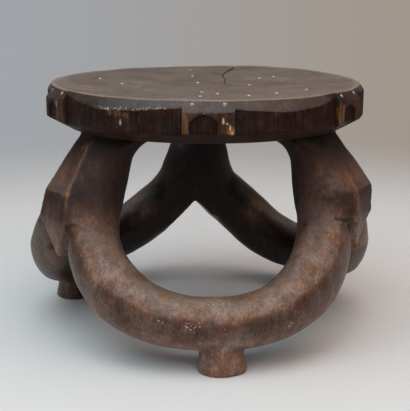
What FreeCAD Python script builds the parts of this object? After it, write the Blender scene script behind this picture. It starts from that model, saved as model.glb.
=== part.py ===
"""Low round stool carved from one block of hardwood, with metal tacks in its seat.

Millimetres, +Z up. The origin is on the floor under the middle of the seat, and the
front of the stool faces -Y. The legs have a threefold pattern about the Z axis: three
feet, a bow over each foot, and an upright between each pair of bows. The carving is
divided into seat, uprights, bows and feet, which meet face to face.
"""
import FreeCAD
import Part
import math
import os

from FreeCAD import Vector

# Seat
SEAT_HEIGHT = 249.0          # floor to the ridge round the dish
SEAT_THICKNESS = 41.0        # ridge to the flat underside
RIDGE_RADIUS = 155.0
DISH_DEPTH = 8.0
BEVEL_SLOPE = 1.4            # drop of the rim bevel for each millimetre outwards
CHAMFER_HEIGHT = 12.0        # lower edge of the rim, cut back towards the underside
CHAMFER_DEPTH = 22.0
LOBE_MIDDLE_REACH = 8.0      # rim between two lugs, at its fullest, outside the ridge
LOBE_END_REACH = 3.0         # rim beside a lug, at its deepest, outside the ridge
BLANK_ALLOWANCE = 3.0        # how far the turned blank stands outside the finished rim

# Lugs on the rim: two ribs, left and right as seen from outside, and a recess between
# Each lug was set out by eye, so each has its own turn in degrees from an even spacing
# that starts over the front foot.
LUG_TURNS = (-4.5, -6.5, -4.5, -4.5, -4.5, -10.0)
LUG_REACH = 7.5              # outside the ridge
LUG_WIDTH = 47.0
LEFT_RIB_WIDTH = 6.0
RIGHT_RIB_WIDTH = 15.0
RECESS_DEPTH = 2.5

# Feet
LEG_COUNT = 3
FOOT_CIRCLE_RADIUS = 158.7   # stool axis to the middle of a foot
FOOT_BOTTOM_RADIUS = 20.8
FOOT_TOP_RADIUS = 17.5
FOOT_EDGE_CHAMFER = 1.5

# Bows: an oval tube that runs from the top of one upright down over a foot and up to
# the next upright, on a path like a squared half ellipse
BOW_CLEARANCE = 20.3         # floor to the underside of a bow
BOW_HALF_HEIGHT = 24.7       # over the foot
BOW_HALF_DEPTH = 22.0        # over the foot, towards the stool axis
BOW_SPRING_HEIGHT = 160.0    # where the path turns straight up
BOW_LEAN = 49.0              # how far the path leans in from the foot to the seat
BOW_LEAN_POWER = 1.6         # how late it leans in: 1 is a straight lean
BOW_TOP_OFFSET = 14.0        # path to the middle plane of the upright, measured over the foot
BOW_SHOULDER = 9.0           # extra thickness halfway up, on the side towards the opening
BOW_WAIST_HALF_WIDTH = 19.0  # at the spring height
BOW_WAIST_HALF_DEPTH = 25.0
BOW_WAIST_POWER = 6          # how late the tube narrows to its waist
BOW_TOP_HALF_WIDTH = 21.0    # under the seat
BOW_TOP_HALF_DEPTH = 17.0
BOW_STEPS = 6                # ovals from the foot to the spring height
# Each end of a bow was carved by eye, so each has its own extra thickness at the waist
# and its own power of the path's ellipse, where 2 is a plain one. Left and right are as
# seen from outside.
BOW_ENDS = {
    "front": ((8.0, 2.6), (25.0, 2.4)),
    "back_right": ((0.0, 1.7), (4.0, 2.1)),
    "back_left": ((0.0, 2.5), (0.0, 1.6)),
}

# Uprights: a six-sided post with a knee, measured from the middle of the bows
KNEE_HEIGHT = 154.0
KNEE_REACH = 38.0            # out to the knee
KNEE_HALF_WIDTH = 21.0
POST_TOP_REACH = 27.0        # out to the facet under the seat
POST_TOP_HALF_WIDTH = 11.0
BELLY_HEIGHT = 128.0         # widest part of the facet below the knee
BELLY_REACH = 34.0
BELLY_HALF_WIDTH = 25.0
POST_TIP_HEIGHT = 91.0       # where that facet runs out between two bows
POST_TIP_REACH = 18.0
POST_TIP_HALF_WIDTH = 0.6
POST_TIP_DEPTH = 34.0        # from outside to inside, like a blunt wedge
POST_WAIST_HALF_WIDTH = 31.0 # at the middle of the bows
POST_INNER_REACH = 25.0      # in to the face towards the stool axis
POST_INNER_HALF_WIDTH = 15.0

# Tacks
TACK_HEAD_RADIUS = 2.4
TACK_HEAD_HEIGHT = 1.2
TACK_SHANK_RADIUS = 0.8
TACK_SHANK_LENGTH = 9.0
TACK_SEAT_DEPTH = 0.4        # how far a head is let into the wood
TACK_CLEARANCE = 0.05
LUG_TACK_SPACING = 29.5
# Tacks on the dish and empty tack holes: distance from the axis, and degrees from +X
DISH_TACKS = [
    (131, 92), (96, 93), (49, 94), (122, 151), (88, 162), (110, 42), (94, 46), (53, 24),
    (32, -102), (80, -99), (50, -82), (89, -68), (90, -46), (106, -26),
]
EMPTY_HOLES = [(114, -166), (96, -146), (63, 181), (102, -124), (91, -110)]

# Values that follow from those above
SEAT_UNDERSIDE = SEAT_HEIGHT - SEAT_THICKNESS
LUG_RADIUS = RIDGE_RADIUS + LUG_REACH
LEG_PITCH = 360.0 / LEG_COUNT
LUG_PITCH = 360.0 / len(LUG_TURNS)
LUG_MIDDLES = [index * LUG_PITCH - 90 + turn for index, turn in enumerate(LUG_TURNS)]
FOOT_MIDDLE = BOW_CLEARANCE + BOW_HALF_HEIGHT
FULLEST_SWELL = max(swell for ends in BOW_ENDS.values() for swell, _ in ends)
FULLEST_HALF_WIDTH = max(BOW_TOP_HALF_WIDTH, BOW_WAIST_HALF_WIDTH + FULLEST_SWELL)
UPRIGHT_HALF_WIDTH = BOW_TOP_OFFSET + FULLEST_HALF_WIDTH  # where uprights and bows divide
DISH_BALL_RADIUS = (RIDGE_RADIUS ** 2 + DISH_DEPTH ** 2) / (2 * DISH_DEPTH)
DISH_BALL_MIDDLE = Vector(0, 0, SEAT_HEIGHT - DISH_DEPTH + DISH_BALL_RADIUS)
AXIS_FOOT = Vector(0, 0, 0)
UP = Vector(0, 0, 1)
UNIT_CIRCLE = Part.Circle(AXIS_FOOT, UP, 1).toBSpline()


def polar(radius, degrees, height=0.0):
    """Point at a distance and a direction from the stool axis."""
    angle = math.radians(degrees)
    return Vector(radius * math.cos(angle), radius * math.sin(angle), height)


def turned(outline):
    """Solid of revolution about the stool axis from points (radius, height)."""
    points = [Vector(radius, 0, height) for radius, height in outline]
    face = Part.Face(Part.makePolygon(points + points[:1]))
    return face.revolve(AXIS_FOOT, UP, 360)


def rotated(shape, degrees):
    """Copy of the shape turned about the stool axis."""
    copy = shape.copy()
    copy.rotate(AXIS_FOOT, UP, degrees)
    return copy


def seat_blank():
    """Turned blank of the seat, with the bevel, the chamfer and the dish."""
    blank_radius = RIDGE_RADIUS + max(LOBE_MIDDLE_REACH, LUG_REACH) + BLANK_ALLOWANCE
    bevel_foot = SEAT_HEIGHT - BEVEL_SLOPE * (blank_radius - RIDGE_RADIUS)
    underside_radius = LUG_RADIUS - CHAMFER_DEPTH
    chamfer_slope = CHAMFER_HEIGHT / CHAMFER_DEPTH
    chamfer_top = SEAT_UNDERSIDE + chamfer_slope * (blank_radius - underside_radius)
    blank = turned([
        (0, SEAT_UNDERSIDE),
        (underside_radius, SEAT_UNDERSIDE),
        (blank_radius, chamfer_top),
        (blank_radius, bevel_foot),
        (RIDGE_RADIUS, SEAT_HEIGHT),
        (0, SEAT_HEIGHT),
    ])
    return blank.cut(Part.makeSphere(DISH_BALL_RADIUS, DISH_BALL_MIDDLE))


def rim_outline():
    """Closed outline of the rim seen from above: the lugs and the lobes between them."""
    lug_end = math.degrees(LUG_WIDTH / 2 / LUG_RADIUS)
    recess_left = math.degrees((LEFT_RIB_WIDTH - LUG_WIDTH / 2) / LUG_RADIUS)
    recess_right = math.degrees((LUG_WIDTH / 2 - RIGHT_RIB_WIDTH) / LUG_RADIUS)
    recess_radius = LUG_RADIUS - RECESS_DEPTH
    lobe_end_radius = RIDGE_RADIUS + LOBE_END_REACH
    edges = []
    for middle, next_middle in zip(LUG_MIDDLES, LUG_MIDDLES[1:] + [LUG_MIDDLES[0] + 360]):
        lug = [
            polar(lobe_end_radius, middle - lug_end),
            polar(LUG_RADIUS, middle - lug_end),
            polar(LUG_RADIUS, middle + recess_left),
            polar(recess_radius, middle + recess_left),
            polar(recess_radius, middle + recess_right),
            polar(LUG_RADIUS, middle + recess_right),
            polar(LUG_RADIUS, middle + lug_end),
            polar(lobe_end_radius, middle + lug_end),
        ]
        edges += [Part.LineSegment(start, end).toShape() for start, end in zip(lug, lug[1:])]
        lobe_top = polar(RIDGE_RADIUS + LOBE_MIDDLE_REACH, (middle + next_middle) / 2)
        lobe_end = polar(lobe_end_radius, next_middle - lug_end)
        edges.append(Part.Arc(lug[-1], lobe_top, lobe_end).toShape())
    return Part.Wire(edges)


def plain_seat():
    """Seat with its lobes and lugs, before any tack hole."""
    outline = Part.Face(rim_outline())
    outline.translate(Vector(0, 0, SEAT_UNDERSIDE - BLANK_ALLOWANCE))
    prism = outline.extrude(UP * (SEAT_THICKNESS + 2 * BLANK_ALLOWANCE))
    return seat_blank().common(prism)


def tack():
    """Domed head and straight shank, with the underside of the head at the origin."""
    dome_radius = (TACK_HEAD_RADIUS ** 2 + TACK_HEAD_HEIGHT ** 2) / (2 * TACK_HEAD_HEIGHT)
    ball = Part.makeSphere(dome_radius, UP * (TACK_HEAD_HEIGHT - dome_radius))
    head = ball.common(Part.makeCylinder(2 * TACK_HEAD_RADIUS, 2 * TACK_HEAD_HEIGHT))
    shank = Part.makeCylinder(TACK_SHANK_RADIUS, TACK_SHANK_LENGTH, UP * -TACK_SHANK_LENGTH)
    return head.fuse(shank).removeSplitter()


def tack_bore():
    """Hole for a tack: a spot face for the head and a blind bore for the shank."""
    spot = Part.makeCylinder(TACK_HEAD_RADIUS + TACK_CLEARANCE, 2 * TACK_HEAD_HEIGHT)
    depth = TACK_SHANK_LENGTH + TACK_CLEARANCE
    bore_radius = TACK_SHANK_RADIUS + TACK_CLEARANCE
    bore = Part.makeCylinder(bore_radius, depth + TACK_HEAD_HEIGHT, UP * -depth)
    return spot.fuse(bore)


def empty_hole():
    """Hole that a lost tack left, with its mouth at the origin and past the wood."""
    return Part.makeCylinder(TACK_SHANK_RADIUS, 2 * TACK_SHANK_LENGTH, UP * -TACK_SHANK_LENGTH)


def set_in(shape, place):
    """The shape let into the wood at a place, with its +Z along the outward normal."""
    point, normal = place
    placed = shape.copy()
    sunk = point - normal * TACK_SEAT_DEPTH
    placed.Placement = FreeCAD.Placement(sunk, FreeCAD.Rotation(UP, normal))
    return placed


def dish_place(radius, degrees):
    """Point on the dish floor and the outward normal there."""
    drop = math.sqrt(DISH_BALL_RADIUS ** 2 - radius ** 2)
    point = polar(radius, degrees, DISH_BALL_MIDDLE.z - drop)
    return point, (DISH_BALL_MIDDLE - point).normalize()


def lug_tack_places():
    """Point and normal of each tack, two on the bevel above each lug."""
    tack_angle = math.degrees(LUG_TACK_SPACING / 2 / LUG_RADIUS)
    reach = (LUG_REACH - RECESS_DEPTH) / 2
    radius = RIDGE_RADIUS + reach
    height = SEAT_HEIGHT - BEVEL_SLOPE * reach
    places = []
    for middle in LUG_MIDDLES:
        for degrees in (middle - tack_angle, middle + tack_angle):
            normal = polar(BEVEL_SLOPE, degrees, 1.0).normalize()
            places.append((polar(radius, degrees, height), normal))
    return places


def bow_radius(height):
    """Distance from the stool axis to the middle of the bows at a height."""
    rise = (height - FOOT_MIDDLE) / (SEAT_UNDERSIDE - FOOT_MIDDLE)
    return FOOT_CIRCLE_RADIUS - BOW_LEAN * max(rise, 0.0) ** BOW_LEAN_POWER


def half_bow(swell, squareness):
    """Stations of half a bow from beside the foot to above the seat's underside.

    Each is the degrees from the foot, the height, and the half width and half depth.
    """
    reach = math.radians(LEG_PITCH / 2) * FOOT_CIRCLE_RADIUS - BOW_TOP_OFFSET
    rise = BOW_SPRING_HEIGHT - FOOT_MIDDLE
    stations = []
    for step in range(1, BOW_STEPS + 1):
        turn = math.radians(90.0 * step / BOW_STEPS)
        across = math.sin(turn)
        down = abs(math.cos(turn))
        extra = (BOW_SHOULDER * math.sin(2 * turn) ** 2 + swell * across ** 2) / 2
        along = reach * across ** (2 / squareness) - extra * across
        height = BOW_SPRING_HEIGHT - rise * down ** (2 / squareness) + extra * down
        narrowing = (BOW_HALF_HEIGHT - BOW_WAIST_HALF_WIDTH) * across ** BOW_WAIST_POWER
        half_width = BOW_HALF_HEIGHT - narrowing + extra
        half_depth = BOW_HALF_DEPTH + (BOW_WAIST_HALF_DEPTH - BOW_HALF_DEPTH) * across ** 2
        stations.append((along, height, half_width, half_depth))
    for height in (SEAT_UNDERSIDE, SEAT_UNDERSIDE + BOW_TOP_HALF_WIDTH):
        stations.append((reach, height, BOW_TOP_HALF_WIDTH, BOW_TOP_HALF_DEPTH))
    return [(math.degrees(along / FOOT_CIRCLE_RADIUS), *rest) for along, *rest in stations]


def oval(middle, along, outwards, half_width, half_depth):
    """Closed oval square to a bow's path, with its depth towards the stool axis.

    It is a stretched circle, so that every oval of a bow starts on the same side.
    """
    depth_way = (outwards - along * outwards.dot(along)).normalize()
    width_way = along.cross(depth_way)
    curve = UNIT_CIRCLE.copy()
    for index, pole in enumerate(UNIT_CIRCLE.getPoles(), 1):
        sideways = width_way * (pole.x * half_width)
        curve.setPole(index, middle + sideways + depth_way * (pole.y * half_depth))
    return Part.Wire(curve.toShape())


def bow_tube(left_end, right_end):
    """Whole tube of a bow over the front foot, running up into both of its uprights."""
    left = [(-degrees, *rest) for degrees, *rest in reversed(half_bow(*left_end))]
    foot = (0.0, FOOT_MIDDLE, BOW_HALF_HEIGHT, BOW_HALF_DEPTH)
    stations = left + [foot] + half_bow(*right_end)
    middles = [polar(bow_radius(height), degrees - 90, height) for degrees, height, _, _ in stations]
    path = Part.BSplineCurve()
    path.interpolate(middles)
    ovals = []
    for middle, (degrees, _, half_width, half_depth) in zip(middles, stations):
        along = path.tangent(path.parameter(middle))[0]
        ovals.append(oval(middle, along, polar(1, degrees - 90), half_width, half_depth))
    return Part.makeLoft(ovals, True, False)


def post_section(height, *corners):
    """Six-sided outline across the back upright, from (reach, half width) pairs."""
    middle = bow_radius(height)
    right = [Vector(half_width, middle + reach, height) for reach, half_width in corners]
    left = [Vector(-point.x, point.y, height) for point in reversed(right)]
    return Part.makePolygon(right + left + right[:1])


def post():
    """Faceted post of the back upright, with its knee, from seat to tip."""
    waist = (0.0, POST_WAIST_HALF_WIDTH)
    inner = (-POST_INNER_REACH, POST_INNER_HALF_WIDTH)
    tip_depths = (0, POST_TIP_DEPTH / 2, POST_TIP_DEPTH)
    tip = [(POST_TIP_REACH - depth, POST_TIP_HALF_WIDTH) for depth in tip_depths]
    return Part.makeLoft([
        post_section(SEAT_UNDERSIDE, (POST_TOP_REACH, POST_TOP_HALF_WIDTH), waist, inner),
        post_section(KNEE_HEIGHT, (KNEE_REACH, KNEE_HALF_WIDTH), waist, inner),
        post_section(BELLY_HEIGHT, (BELLY_REACH, BELLY_HALF_WIDTH), waist, inner),
        post_section(POST_TIP_HEIGHT, *tip),
    ], True, True)


def foot_peg():
    """Short flared peg under the front bow, before the bow is fitted to it."""
    peg_top = FOOT_MIDDLE - BOW_HALF_HEIGHT / 2
    peg = turned([
        (0, 0),
        (FOOT_BOTTOM_RADIUS - FOOT_EDGE_CHAMFER, 0),
        (FOOT_BOTTOM_RADIUS, FOOT_EDGE_CHAMFER),
        (FOOT_TOP_RADIUS, BOW_CLEARANCE),
        (FOOT_TOP_RADIUS, peg_top),
        (0, peg_top),
    ])
    peg.translate(polar(FOOT_CIRCLE_RADIUS, -90))
    return peg


def below_seat():
    """Space under the seat that holds all the legs."""
    size = 4 * FOOT_CIRCLE_RADIUS
    return Part.makeBox(size, size, SEAT_UNDERSIDE, Vector(-size / 2, -size / 2, 0))


def upright_space():
    """Space that holds the back upright and divides it from the bows beside it.

    It starts at the distance from the stool axis where the spaces of all uprights meet.
    """
    start = UPRIGHT_HALF_WIDTH / math.tan(math.radians(LEG_PITCH / 2))
    corner = Vector(-UPRIGHT_HALF_WIDTH, start, 0)
    return Part.makeBox(2 * UPRIGHT_HALF_WIDTH, 2 * FOOT_CIRCLE_RADIUS, SEAT_HEIGHT, corner)


def wooden_legs():
    """Uprights, bows and feet by name."""
    nodes = {}
    spaces = [rotated(upright_space(), index * LEG_PITCH) for index in range(LEG_COUNT)]
    tubes = []
    for index, name in enumerate(("front", "back_right", "back_left")):
        degrees = index * LEG_PITCH
        tubes.append(rotated(bow_tube(*BOW_ENDS[name]), degrees).common(below_seat()))
        nodes["bow_" + name] = tubes[-1].cut(spaces)
        nodes["foot_" + name] = rotated(foot_peg(), degrees).cut(nodes["bow_" + name])
    for index, name in enumerate(("back", "front_left", "front_right")):
        ends = [tube.common(spaces[index]) for tube in tubes]
        bow_ends = [end for end in ends if end.Solids]
        nodes["upright_" + name] = rotated(post(), index * LEG_PITCH).fuse(bow_ends)
    return nodes


def seat_and_tacks():
    """The seat with its tack holes, and each tack, by name."""
    places = {f"lug_tack_{number:02d}": place for number, place in enumerate(lug_tack_places(), 1)}
    for number, spot in enumerate(DISH_TACKS, 1):
        places[f"dish_tack_{number:02d}"] = dish_place(*spot)
    nodes = {name: set_in(tack(), place) for name, place in places.items()}
    holes = [set_in(tack_bore(), place) for place in places.values()]
    holes += [set_in(empty_hole(), dish_place(*spot)) for spot in EMPTY_HOLES]
    nodes["seat"] = plain_seat().cut(holes)
    return nodes


def write_node(name, shape):
    """Write the one solid of a sub-part, which has to be whole."""
    if len(shape.Solids) != 1 or not shape.isValid():
        raise ValueError(f"{name} came out as {len(shape.Solids)} solids")
    solid = shape.Solids[0]
    solid.exportStep(f"parts/{name}.step")
    print(f"{name}: {solid.Volume / 1000:.2f} cm3")


os.makedirs("parts", exist_ok=True)
for node, form in {**wooden_legs(), **seat_and_tacks()}.items():
    write_node(node, form)
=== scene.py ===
"""Looks of the carved stool: one dark, worn block of hardwood with metal tacks in its seat.

Metres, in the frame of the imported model: +Z up, and the front of the stool towards -Y.
"""
import math

import bmesh
import bpy
import numpy as np
from mathutils import Matrix, Vector, noise


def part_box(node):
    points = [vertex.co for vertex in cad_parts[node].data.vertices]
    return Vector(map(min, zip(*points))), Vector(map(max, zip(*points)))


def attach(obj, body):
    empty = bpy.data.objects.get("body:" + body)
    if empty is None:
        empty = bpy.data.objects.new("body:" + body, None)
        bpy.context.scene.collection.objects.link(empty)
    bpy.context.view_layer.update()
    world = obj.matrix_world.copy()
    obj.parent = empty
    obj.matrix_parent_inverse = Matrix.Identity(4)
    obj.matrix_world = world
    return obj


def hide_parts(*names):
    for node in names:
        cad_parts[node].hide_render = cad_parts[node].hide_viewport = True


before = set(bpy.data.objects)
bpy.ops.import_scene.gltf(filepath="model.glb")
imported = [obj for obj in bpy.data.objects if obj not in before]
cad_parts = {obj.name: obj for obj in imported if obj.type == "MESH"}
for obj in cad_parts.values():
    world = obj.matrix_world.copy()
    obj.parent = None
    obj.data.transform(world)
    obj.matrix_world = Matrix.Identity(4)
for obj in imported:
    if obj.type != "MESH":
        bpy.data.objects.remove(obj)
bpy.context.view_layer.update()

MM = 0.001


def mm(*lengths):
    """Lengths in millimetres, as metres."""
    return tuple(length * MM for length in lengths)


# Seat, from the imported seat's box and the sizes of its rim
SEAT_LOW, SEAT_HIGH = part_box("seat")
SEAT_HEIGHT = SEAT_HIGH.z
SEAT_UNDERSIDE = SEAT_LOW.z
FULLEST_REACH = 8 * MM  # of the rim outside the ridge, as the other reaches
LUG_REACH = 7.5 * MM
RIDGE_RADIUS = SEAT_HIGH.x - FULLEST_REACH
LUG_RADIUS = RIDGE_RADIUS + LUG_REACH
DISH_DEPTH = 8 * MM
DISH_BOTTOM = SEAT_HEIGHT - DISH_DEPTH
BEVEL_SLOPE = 1.4
CHAMFER_HEIGHT = 12 * MM
CHAMFER_DEPTH = 22 * MM
UNDERSIDE_RADIUS = LUG_RADIUS - CHAMFER_DEPTH
SIDE_TOP = SEAT_HEIGHT - BEVEL_SLOPE * LUG_REACH  # at a lug
SIDE_HEIGHT = SIDE_TOP - SEAT_UNDERSIDE - CHAMFER_HEIGHT
LUG_MIDDLES = np.array([25.5, 85.5, 145.5, 200.0, 265.5, 323.5])  # degrees from +X
LOBE_REACHES = np.array([6.5, 6.5, 4.5, 8.0, 8.0, 4.5]) * MM  # after each of these lugs
LOBE_STARTS = np.array([3.0, 3.0, 3.0, 2.0, 5.6, 3.0]) * MM  # at the first end of each lobe
LOBE_ENDS = np.array([3.0, 3.0, 3.0, 4.4, 2.0, 3.0]) * MM  # and at its last
LOBE_POWER = 1.7  # of the fall from the middle of a lobe to its ends
LUG_WIDTH = 47 * MM
NICHE_LEFT = -17.5 * MM  # from the middle of a lug, as seen from outside
NICHE_RIGHT = 8.5 * MM
NICHE_DEPTH = 3.2 * MM
NICHE_TOP = 0.8 * MM  # top of its arch, below the bevel
NICHE_ARCH = 7 * MM
NICHE_FALL = 1.4 * MM  # height over which the arch falls to the full depth
NICHE_SIDE = 0.07  # share of half the width over which the sides fall
BACK_LIFT = 2 * MM  # of the ridge, which is highest at the back right
LIFT_MIDDLE = 55.0  # degrees
LIFT_SPREAD = 24.0
LIFT_POWER = 6  # of the fall of the lift towards the middle of the dish

# Rows and columns of the seat's mesh, with angles in degrees
COLUMN_STEP = 0.6
CLOSE_STEP = COLUMN_STEP / 3
LEAST_STEP = 0.07
EDGE_SHIFTS = (-0.24, -0.08, 0.08, 0.24)  # at the edges of lugs and niches
CLOSE_COLUMNS = [(55.0, 82.0), (234.0, 240.0), (268.0, 275.0)]  # at the split and at chips
DISH_ROWS = 46
DISH_CROWDING = 0.12  # of its rows towards the ridge
BEVEL_ROWS = 8
SIDE_ROWS = 24
CHAMFER_ROWS = 8
UNDERSIDE_ROWS = 8

# Split in the dish, as lines of points seen from above, in millimetres
SPLIT = [
    [(48.5, 142.2), (38.1, 122.9), (28.6, 98.9), (28.0, 64.6), (23.0, 35.7)],
    [(28.6, 98.9), (21.1, 113.0)],
    [(38.1, 122.9), (52.2, 126.0)],
]
SPLIT_DEPTH = 3.2 * MM
SPLIT_HALF_WIDTH = 1.5 * MM
SPLIT_SHALLOWING = 0.5  # share of the depth that is lost along a line
SPLIT_NARROWING = 0.6  # and of the width

# Empty tack holes: radius in millimetres and degrees from +X
EMPTY_HOLES = [(114, -166), (96, -146), (63, 181), (102, -124), (91, -110)]
HOLE_RADIUS = 2.7 * MM  # at the top of the tapered peg that cuts a hole
HOLE_DEPTH = 6 * MM
HOLE_SIDES = 12

# Relief: depth, size, any shift of its noise, and how much the height counts if not fully
SIDE_STREAKS = (0.22 * MM, 3.2 * MM, 0.0, 0.06)
SIDE_FACETS = (0.45 * MM, 15 * MM, 4.7, 0.4)
TOP_WAVES = (0.35 * MM, 26 * MM)
TOP_RIPPLES = (0.12 * MM, 5 * MM, 2.2)
SPLIT_SWAYS = ((0.8 * MM, 6 * MM), (0.8 * MM, 6 * MM, 9.5))
LEG_FACETS = (0.45 * MM, 17 * MM)
LEG_RIPPLES = (0.16 * MM, 6 * MM, 5.1)
LEG_GRAIN = (0.1 * MM, 2.6 * MM, 0.0, 0.08)

# The same round the rim, with sizes as shares of its radius
RIDGE_SWAY = (0.9 * MM, 0.35)
RIDGE_WAVES = (0.6 * MM, 0.3, 7.1)
REACH_SWAY = (0.12, 0.16, 3.3)  # as a share of the reach

# The same for tones and for the edges of spots
DISH_RAYS = (0.07, 1.0, 2.7)
SHEEN_CLOUDS = (0.6, 12 * MM, 3.9)
SPOT_RAGS = (0.35, 1.6 * MM, 8.8)

# Finish of the seat's zones: how light, from 0 to 1, how dull, how mottled and how streaked
SEAT_FINISH = {
    "dish": (0.51, 0.06, 0.7, 0.15),
    "bevel": (0.22, 0.0, 0.9, 0.3),
    "side": (0.13, 0.25, 0.7, 0.7),
    "chamfer": (0.18, 0.12, 0.7, 0.7),
    "underside": (0.06, 0.30, 0.6, 0.4),
}
FINISH_NAMES = ("tone", "dull", "mottle", "streak")
# Painted shade in the drying split, darker where it is deeper
SPLIT_SHADE = 0.6
SPLIT_SHADE_DEPTHS = mm(0.1, 0.9)  # depths between which painted shade comes into the split
# Painted light on the raised fronts of the lugs, so that their niches look shaded
LUG_FRONT_LIGHT = 0.18
RIB_WEAR = 0.35  # of the left rib of each lug
LUG_WEAR = 0.06
RIDGE_WEAR_AND_HIGHLIGHT = (0.15, 0.28)  # pale line just inside the ridge and on it, worn and partly a painted highlight
RING_LIGHT = 0.07  # painted light in the dish towards the ridge
RING_START = 0.6  # as a share of the ridge's radius
# Painted shade in the back of the dish
DISH_BACK_SHADE = 0.13
RAY_FINENESS = 7
RAY_LENGTH = 90 * MM
FLECKED = (212, 235, 245, 262)  # degrees: flecks on the bevel thicken, then thin out
FLECKED_ROWS = ((-2, 0.5), (-1, 1.0), (0, 1.0), (1, 0.4))  # from the bevel's foot, how thick
FLECKS_ALL_ROUND = 0.2
FLECKS_LEFT = 0.9
SEAT_HOLLOW_SHADE = (0.35 * MM, 5)  # depth at which a concave spot gets the full painted shade, and rounds of smoothing that find it

# How light the legs are, on the same scale, with painted light and shade among them
# Uprights: darker wood, partly painted shade under the seat's overhang
UPRIGHT_TONE = 0.19
# Painted sheen on the uprights' upper facets
FACET_SHEEN = 0.40
# Painted shade, near black, just under the seat
UNDER_SEAT_SHADE = 0.04
BOW_TONE = 0.66
# Painted shade towards the back of the stool
BACK_SHADE = 0.2
FOOT_LIGHTENING = 0.13
# Painted shade on sides that face inwards
INNER_SHADE = 0.5
RIDGE_HIGHLIGHT = 0.14  # painted highlight above the soft ridge of a bow
RIDGE_SHADE = 0.13  # and painted shade below it
# Painted sheen inside the back bows
SHEEN_LIGHTENING = 0.8
SHEEN_BASE = 0.7

# Where these tones come in, from not at all to fully: places, then shares of a direction
BACK_SHADE_RANGE = mm(-90, 20)
FOOT_RANGE = mm(45, 30)
UPRIGHT_RANGE = mm(110, 160)
UNDER_SEAT_SHADE_RANGE = mm(165, 204)
RIDGE_RANGE = mm(40, 26)  # distance from a bow's ridge
HIGHLIGHT_BAND = mm(-26, -12, -4, 2)  # rise and fall, by the distance on the ridge's outer side
SHADE_BAND = mm(-2, 4, 8, 30)
RIDGE_OUTWARD = (0.0, 0.3)
FACET_OUTWARD = (0.6, 0.8)
FACET_UPWARD = (0.25, 0.45)
INWARD = (0.1, 0.8)

# Other finish of the legs, and the heights over which it comes in
UPRIGHT_DULLNESS = 0.3
DULL_RANGE = mm(100, 160)
BOW_POLISH = 0.03
UPRIGHT_EVENNESS = 0.45
EVEN_RANGE = mm(100, 150)
LEG_STREAKS = 0.2
BOW_SPECKS = 0.3
SPECK_RANGE = mm(85, 45)
EDGE_WEAR = 0.15  # of edges away from the rubbed crests
LEG_EDGE = (0.3 * MM, 3)  # height of a fully worn edge, and rounds of smoothing that show it
# Painted shade in the legs' hollows: depth at which it is full, and rounds of smoothing that find it
LEG_HOLLOW_SHADE = (0.7 * MM, 8)

# Spots of wear and stain, and a pocket in painted shade: place in millimetres, half width in
# millimetres, and how upright the spot is
SEAT_CHIPS = [
    ((-89.2, -136.4, 227.2), 1.1, 2.8),
    ((-87.4, -137.6, 237.4), 0.9, 0.7),
    ((0.0, -162.4, 231.5), 1.0, 2.4),
    ((3.5, -162.3, 229.2), 1.3, 0.6),
    ((6.0, -162.2, 225.5), 0.9, 2.2),
    ((8.0, -161.6, 220.5), 0.9, 2.4),
    ((8.9, -161.0, 217.0), 1.2, 0.8),
    ((-148.6, -65.6, 235.5), 1.2, 2.6),
]
SEAT_STAINS = [
    ((-98.0, -130.0, 235.6), 4.0, 0.6),
    ((-92.0, -134.4, 235.2), 4.5, 0.6),
    ((-85.5, -138.7, 234.6), 4.0, 0.6),
]
STAIN_STRENGTH = 0.25
SEAT_MARKS = [
    ((112.7, -111.9, 230.0), 2.0, 3.4),
    ((7.0, -162.2, 222.0), 3.0, 1.8),
]
# Pocket, sunk and darkened with painted shade
POCKETS = [((-155.4, -50.3, 92.0), 4.0, 1.2)]
POCKET_DEPTH = 2 * MM
SPOT_EDGE = (1.3, 0.6)  # half widths from the middle at which a spot ends and is full

# Clusters of pale flecks on the front bow: middle and half sizes in millimetres
FLECKS = [
    ((-6, -167, 68), (17, 8, 3.5)),
    ((-57, -171, 53), (6, 8, 3)),
    ((-27, -176, 49), (12, 8, 9)),
    ((62, -165, 45), (6, 8, 4)),
]
SOFT_EDGE = (1.4, 0.5)  # as SPOT_EDGE, for clusters and undercuts

# Painted sheen in cloudy patches inside the back bows: place and reach in millimetres
SHEENS = [((-64, 125, 89), 28), ((70, 121, 84), 22)]

# Rubbed crests of the front uprights, in millimetres
CRESTS = [
    [(-122, -80, 194), (-136, -92, 166), (-140, -99, 154), (-141, -101, 146)],
    [(125, -97, 166), (136, -104, 152), (135, -106, 141), (133, -107, 129)],
]
CREST_REACH = 7 * MM

# Undercuts at the tips of the front uprights, sunk and darkened with painted shade: half width and line,
# in millimetres
UNDERCUTS = [
    (3.0, [(128, -114, 128), (120, -117, 129), (111, -121, 132)]),
    (4.5, [(128, -112, 126), (131, -105, 117), (136, -97, 108), (141, -92, 102)]),
    (2.6, [(-138, -109, 126), (-134, -111, 128), (-127, -113, 127)]),
    (2.6, [(-138, -109, 126), (-139, -105, 116), (-141, -98, 104)]),
]
UNDERCUT_DEPTH = 1.6 * MM
UNDERCUT_NARROWING = 0.7

# Soft ridge along the front bow, in millimetres, repeated on the other bows
BOW_RIDGE = [
    (-131, -111, 114), (-121, -130, 87), (-89, -155, 70), (-32, -176, 56),
    (29, -177, 56), (71, -164, 69), (103, -143, 91), (115, -128, 113),
]
BOW_TURNS = (0, 120, 240)
BOW_MIDDLE = 150 * MM  # height of the middle of each bow's curve
RIDGE_RISE = 2 * MM
RIDGE_REACH = 20 * MM

# Legs
LEG_VOXEL = 1.9 * MM
SLAB_HEIGHT = 10 * MM  # of the round slab that closes the legs at the top
SLAB_SIDES = 96
UPRIGHT_TURNS = {"upright_back": 90.0, "upright_front_left": 210.0, "upright_front_right": 330.0}
NOTCH_HEIGHT = 125 * MM  # flat sides of the uprights end here in a small step
FLAT_STEP = 6 * MM  # height of one slice of those sides
LEG_SHIFT = -1.8 * MM  # the legs stand a little to the left of the seat
TOP_CUT = 0.3 * MM  # the legs are cut this far under the seat
TOP_OVERLAP = 3 * MM  # and then run this far up into it

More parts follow.
